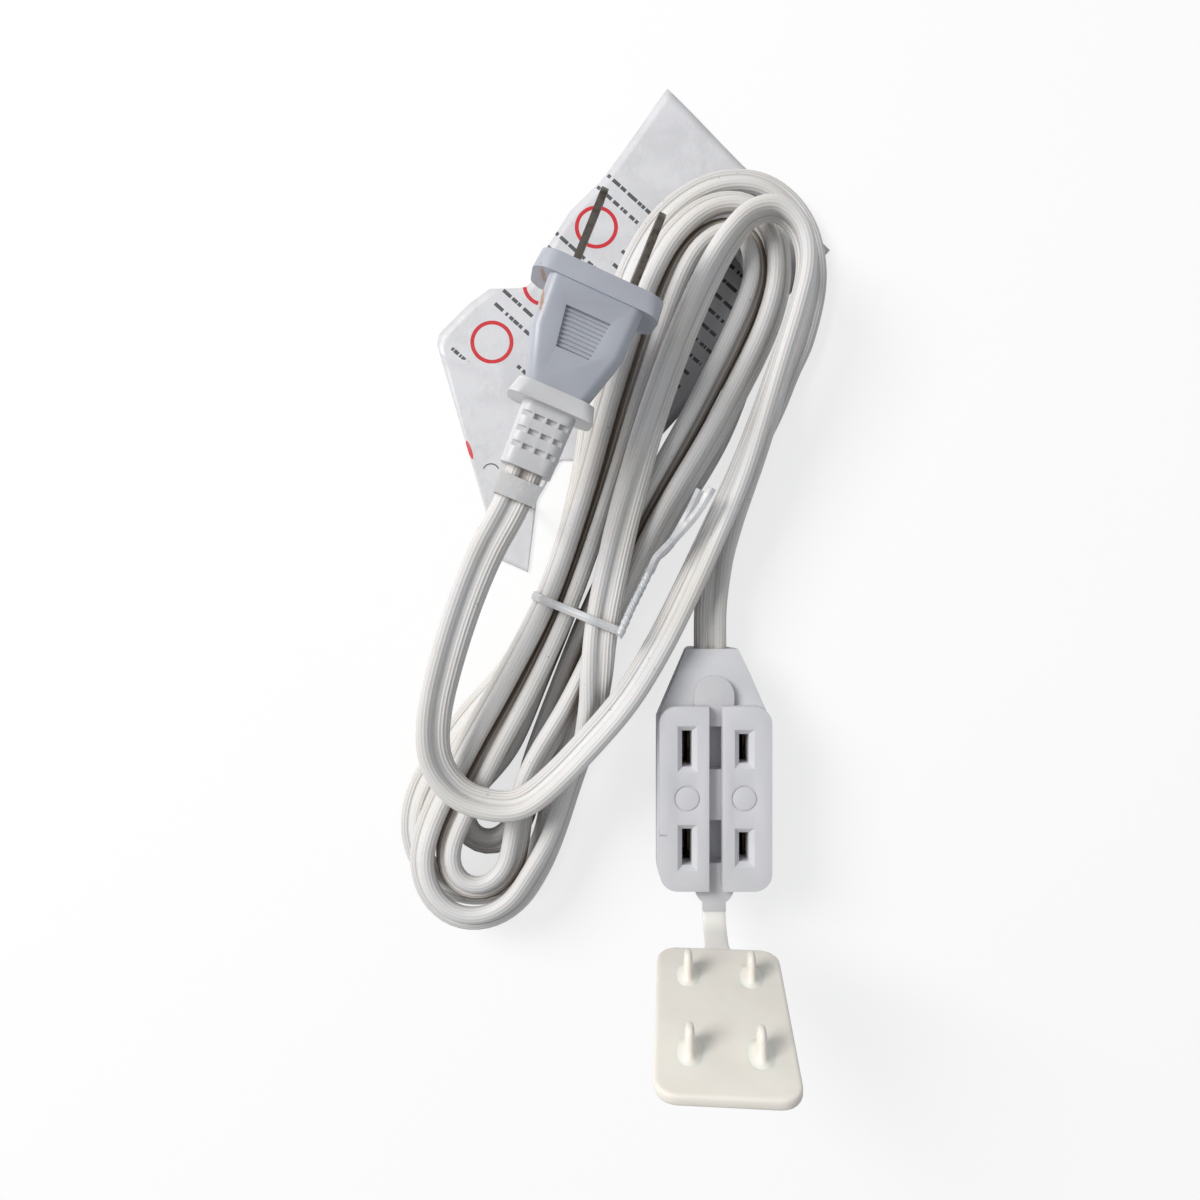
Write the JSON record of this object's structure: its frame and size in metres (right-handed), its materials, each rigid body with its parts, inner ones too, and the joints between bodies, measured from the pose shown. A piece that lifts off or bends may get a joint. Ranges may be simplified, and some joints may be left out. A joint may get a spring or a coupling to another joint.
{
  "type": "household extension cord",
  "caption": "Flat-cord indoor extension cord, coiled and tied: polarised two-blade plug, flat outlet tap with a tethered safety cover, and a care tag.",
  "frame": {"origin": "centre of the tap's back face", "axes": "+Y along the tap towards its cord, +X across the tap with the line slots on the +X side, +Z out of the front outlet face"},
  "size_m": [0.1041, 0.2095, 0.0686],
  "materials": {
    "tap_plastic": "white PVC, fine matte grain, slightly soiled",
    "plug_plastic": "white PVC with a cool tint, satin",
    "cord_plastic": "white flexible PVC, satin, fine ridges on the neutral conductor",
    "cover_vinyl": "creamy soft vinyl, satin",
    "contact_brass": "stamped brass strip",
    "blade_metal": "nickel-plated brass, dull and tarnished",
    "tie_film": "thin translucent white film over a steel wire",
    "tag_film": null
  },
  "bodies": {
    "tap": {"tap_back_shell": "tap_plastic", "tap_front_shell": "tap_plastic", "contact_neutral": "contact_brass", "contact_line": "contact_brass", "core_neutral_tap": "cord_plastic", "core_line_tap": "cord_plastic", "cover_strap": "cover_vinyl", "cover_tether": "cover_vinyl", "cord_tap_lead": "cord_plastic", "cord_hank": "cord_plastic", "cord_plug_lead": "cord_plastic", "twist_tie": "tie_film", "plug_body": "plug_plastic", "plug_bridge": "plug_plastic", "plug_strain_relief": "plug_plastic", "blade_neutral": "blade_metal", "blade_line": "blade_metal", "core_neutral_plug": "cord_plastic", "core_line_plug": "cord_plastic", "tag": "tag_film", "tag_band": "tag_film"},
    "cover": {"cover_plate": "cover_vinyl"}
  },
  "joints": [
    {"name": "cover_swing", "type": "hinge", "parent": "tap", "child": "cover", "pos_m": [0, -0.0342, 0.0196], "axis": [-0.9984, 0.0353, -0.0436], "range_deg": [-90, 102.09], "stiffness_Nm_per_rad": 0.01, "deforming": ["cover_tether"]}
  ]
}
